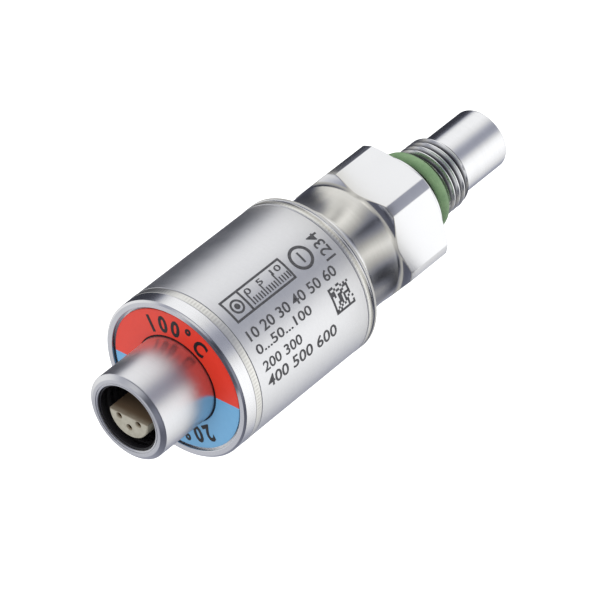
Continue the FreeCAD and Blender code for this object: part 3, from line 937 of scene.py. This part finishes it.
def dress_inside():
    """Materials for the CAD nodes that stay as they are: nodes, and what moulded() is given."""
    finishes = [
        ("socket_nut lower_standoffs middle_standoffs upper_standoffs",
         "nut_brass", (0.62, 0.44, 0.18), (0.74, 0.55, 0.26), 0.32, 800.0, 0.003, 1.0),
        ("stacking_pins bond_wires", "pin_gold_plate", *GOLD),
        ("pressure_cell", "cell_steel", (0.55, 0.55, 0.57), (0.70, 0.70, 0.72), 0.28, 600.0, 0.003, 1.0),
        ("gauge_film", "film_ceramic", (0.62, 0.60, 0.52), (0.74, 0.72, 0.64), 0.5, 1200.0),
        ("temperature_element", "element_ceramic", (0.70, 0.70, 0.66), (0.82, 0.82, 0.78), 0.45, 1500.0),
        ("temperature_leads",
         "lead_silver_wire", (0.60, 0.60, 0.60), (0.75, 0.75, 0.75), 0.3, 1500.0, 0.002, 1.0),
        ("cell_board amplifier_board output_board",
         "board_green_lacquer", (0.012, 0.10, 0.035), (0.02, 0.16, 0.055), 0.35),
        ("lower_pin_strip upper_pin_strip",
         "strip_black_plastic", (0.012, 0.012, 0.013), (0.03, 0.03, 0.032), 0.5, 1200.0),
        ("amplifier_chip output_driver",
         "chip_black_epoxy", (0.010, 0.010, 0.011), (0.024, 0.024, 0.026), 0.55, 1500.0),
        ("capacitors", "capacitor_tantalum", (0.50, 0.27, 0.04), (0.62, 0.36, 0.07), 0.45, 1200.0),
        ("resistors", "resistor_ceramic", (0.02, 0.02, 0.025), (0.05, 0.05, 0.06), 0.4, 1500.0),
    ]
    for nodes, *recipe in finishes:
        material = moulded(*recipe)
        for node in nodes.split():
            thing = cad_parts[node]
            if not thing.material_slots:
                thing.data.materials.append(material)
            for slot in thing.material_slots:
                slot.material = material


# ---- Studio -----------------------------------------------------------------------------

def shown_rays(finish):
    """1 for camera, glossy and transmission rays, which see the white background."""
    path = [finish.node("ShaderNodeLightPath", output=name)
            for name in ("Is Camera Ray", "Is Glossy Ray", "Is Transmission Ray")]
    return path[0].math("MAXIMUM", path[0].math("MAXIMUM", path[0], path[1]), path[2])


def white_world():
    """White for what the camera and gloss see, and a plain level of light on the object."""
    world = bpy.data.worlds.new("studio")
    bpy.context.scene.world = world
    finish = Finish("studio", "ShaderNodeBackground", world, Color=(1, 1, 1, 1))
    finish.set(Strength=0.95 + shown_rays(finish) * 0.05)


def floor():
    """Pale floor well below the object, which shows a little brighter than the light it gives."""
    reach, level = 6000.0, -450.0
    line = np.linspace(-reach, reach, 9)
    x, y = np.meshgrid(line, line)
    mesh = grid_mesh("floor", np.stack([x, y, np.full_like(x, level)], -1))
    finish = Finish("floor_paper", Base_Color=(0.93, 0.93, 0.93, 1), Roughness=0.9, Emission_Strength=1.0)
    finish.shader.inputs["Specular IOR Level"].default_value = 0.0
    finish.set(Emission_Color=finish.mix((0, 0, 0), (0.5, 0.5, 0.5), shown_rays(finish)))
    mesh.materials.append(finish.material)
    placed("floor", mesh)


def cool_or_warm(tone, warm):
    """Colour of a panel's tone: dark panels are a cool grey, and light ones are white or warm."""
    tone = tone[..., None]
    dark = tone * np.array([0.91, 0.96, 1.25])
    light = tone * (np.array([1.0, 0.975, 0.90]) if warm else np.ones(3))
    share = np.clip((tone - 0.08) / (0.35 if warm else 0.75), 0, 1)
    return dark * (1 - share) + light * share


def panel(name, grid, colours):
    """A studio panel that only gloss sees, with a colour for each point of its grid."""
    mesh = grid_mesh(name, grid)
    points = np.concatenate([colours.reshape(-1, 3), np.ones((colours[..., 0].size, 1))], 1)
    mesh.attributes.new("tone", "FLOAT_COLOR", "POINT").data.foreach_set("color", points.reshape(-1))
    thing = placed(name, mesh)
    finish = Finish(name + "_paint", "ShaderNodeEmission", Strength=1.0)
    finish.set(Color=finish.node("ShaderNodeAttribute", {"attribute_name": "tone"}, output=0))
    mesh.materials.append(finish.material)
    for ray in ("camera", "diffuse", "shadow", "transmission"):
        setattr(thing, "visible_" + ray, False)


# The camera, seen from the object, and how steeply its view falls
EYE_AZIMUTH, EYE_ELEVATION, EYE_ROLL = 49.75, 36.465, -128.4915
EYE_SLOPE = 0.74

# Tones round the tent's low panels, as (azimuth, tone)
LOW_PANELS = [(-165, 0.04), (-150, 0.05), (-137, 0.18), (-120, 0.34), (-105, 0.34), (-93, 0.42),
              (-81, 0.64), (-69, 0.82), (-57, 0.98), (-45, 1.12), (-20, 1.30), (3, 1.28), (17, 1.12),
              (29, 0.76), (39, 0.45), (51, 0.38), (63, 0.43), (75, 0.68), (87, 0.95), (105, 1.12),
              (137, 1.10), (149, 0.72), (157, 0.10), (171, 0.045)]

# Cards that only the neck mirrors. They lean: each row holds the turn of the place on the neck
# and the tone at the neck's foot, and then the same two half way up.
NECK_CARDS = [(150, 0.30, 150, 0.35), (134, 0.07, 126, 0.05), (122, 0.06, 103, 0.02), (116, 0.14, 94, 0.10),
              (107, 0.92, 86, 0.82), (98, 1.00, 81.5, 0.75), (88, 0.88, 77, 0.40), (72, 0.82, 68.5, 1.10),
              (60, 0.35, 59.5, 0.62), (50, 0.03, 50, 0.03), (42, 0.22, 41, 0.38), (29, 0.90, 32, 0.95),
              (21, 0.55, 23, 0.50), (10, 0.08, 12, 0.03), (0, 0.02, 4, 0.01), (-14, 0.01, -8, 0.36),
              (-21, 0.10, -17, 0.24), (-28, 0.30, -28, 0.30)]


def neck_cards():
    """Ribbon of leaning cards round the neck. Every point of the neck sends the camera's mirrored
    view outwards at an azimuth of 2 turn - the eye's azimuth, falling by the eye's slope; the
    ribbon is the surface on which those views meet a circle of a fixed reach about the axis:
    |place + length ray| = reach, height = the place's height - slope length. Its upper rows,
    which the shoulder mirrors, fade to one tone."""
    reach, foot, middle, fading, plain_tone = 20.0, 17.4, 19.9, 21, 0.55
    cards = np.array(NECK_CARDS, float)
    turns = np.linspace(150, -28, 179)
    grid, tones = [], []
    for level in (15.6, 16.6, foot, 18.6, middle, 21.1, 22.3, 24.0, 27.0):
        share = np.clip((level - foot) / (middle - foot), -0.4, 1.3)
        places = cards[:, 0] + share * (cards[:, 2] - cards[:, 0])
        tone = cards[:, 1] + np.clip(share, 0, 1) * (cards[:, 3] - cards[:, 1])
        tone = tone + np.clip((level - fading) / 4, 0, 1) * (plain_tone - tone)
        tones.append(np.interp(-turns, -places, tone))
        place = neck_radius * np.stack(direction(turns), -1)
        ray = np.stack(direction(2 * turns - EYE_AZIMUTH), -1)
        along = (place * ray).sum(-1)
        length = np.sqrt(along ** 2 + reach ** 2 - neck_radius ** 2) - along
        met = place + length[:, None] * ray
        grid.append(np.column_stack([met, level - EYE_SLOPE * length]))
    panel("neck_panels", np.stack(grid), cool_or_warm(np.stack(tones), True))


def tent():
    """Light tent: a sphere of panels. The low panels change with the azimuth, the sides are light
    on the side away from the camera, and the top is dark in the camera's plane, lighter at +90
    degrees from it and dimmer at -90. A soft step joins each to the next."""
    turns, levels = np.meshgrid(np.linspace(0, 360, 181), np.linspace(-90, 90, 91))
    across, along = direction(turns)
    flat, rise = direction(levels)
    radius = 400.0
    grid = np.stack([radius * flat * across, radius * flat * along, radius * rise + 24], -1)
    low = np.interp(turns, *np.array(LOW_PANELS).T, period=360)
    side = 0.11 + 0.84 * (0.5 + 0.5 * np.cos(np.radians(turns - 190))) ** 3.5
    floor_share = np.clip((-levels - 58) / 15, 0, 1)
    side_share = np.clip((levels + 18) / 16, 0, 1)
    top_share = np.clip((levels - 42) / 16, 0, 1)
    tone = low * (1 - floor_share) + 0.9 * floor_share
    tone = tone * (1 - side_share) + side * side_share
    aside = flat * np.sin(np.radians(turns - EYE_AZIMUTH))
    high = np.clip((levels - 50) / 12, 0, 1)
    top = 0.05 + np.clip((np.abs(aside) - 0.06) / 0.25, 0, 1) * high * np.where(aside > 0, 0.80, 0.28)
    tone = tone * (1 - top_share) + top * top_share
    panel("light_tent", grid, cool_or_warm(tone, False))


def turned_to(columns, place):
    """Matrix from three axes and a place in millimetres."""
    matrix = np.eye(4)
    matrix[:3, :3] = np.stack(columns, 1)
    matrix[:3, 3] = np.asarray(place) * MM
    return Matrix(matrix.tolist())


def studio():
    """Floor, world, panels, camera and lamp."""
    scene = bpy.context.scene
    scene.view_settings.view_transform = "Standard"
    white_world()
    floor()
    tent()
    neck_cards()

    # The camera's axes: level and over are its right and up before the roll
    cosine, sine = direction(EYE_AZIMUTH)
    flat, rise = direction(EYE_ELEVATION)
    level = np.array([-sine, cosine, 0])
    over = np.array([-rise * cosine, -rise * sine, flat])
    back = np.array([flat * cosine, flat * sine, rise])
    cosine, sine = direction(EYE_ROLL)
    right, up = cosine * level + sine * over, cosine * over - sine * level
    data = bpy.data.cameras.new("camera")
    data.lens, data.sensor_width = 250.907, 36.0
    data.clip_start, data.clip_end = 0.01, 20.0
    scene.camera = placed("camera", data)
    scene.camera.matrix_world = turned_to([right, up, back], [269.35, 315.37, 334.34])

    # One soft lamp over the camera, which gloss doesn't see
    lamp = bpy.data.lights.new("key", "AREA")
    lamp.shape, lamp.size, lamp.energy = "DISK", 0.45, 1.5
    aim = back * 0.85 + up * 0.5 - right * 0.15
    aim /= np.linalg.norm(aim)
    side = np.cross([0, 0, 1], aim)
    side /= np.linalg.norm(side)
    key = placed("key", lamp)
    centre, distance = np.array([0, 0, 25.0]), 600
    key.matrix_world = turned_to([side, np.cross(aim, side), aim], centre + aim * distance)
    key.visible_glossy = False


# ---- Making -----------------------------------------------------------------------------

studio()
stud_fitting()
turned_pieces()
weld_bead("front_weld_bead", housing_front, half_width=0.55, rise=0.028)
weld_bead("rear_weld_bead", housing_back, half_width=0.35, rise=0.045)
connector_inside()
sleeve_markings()
ring_numbers()
dress_inside()
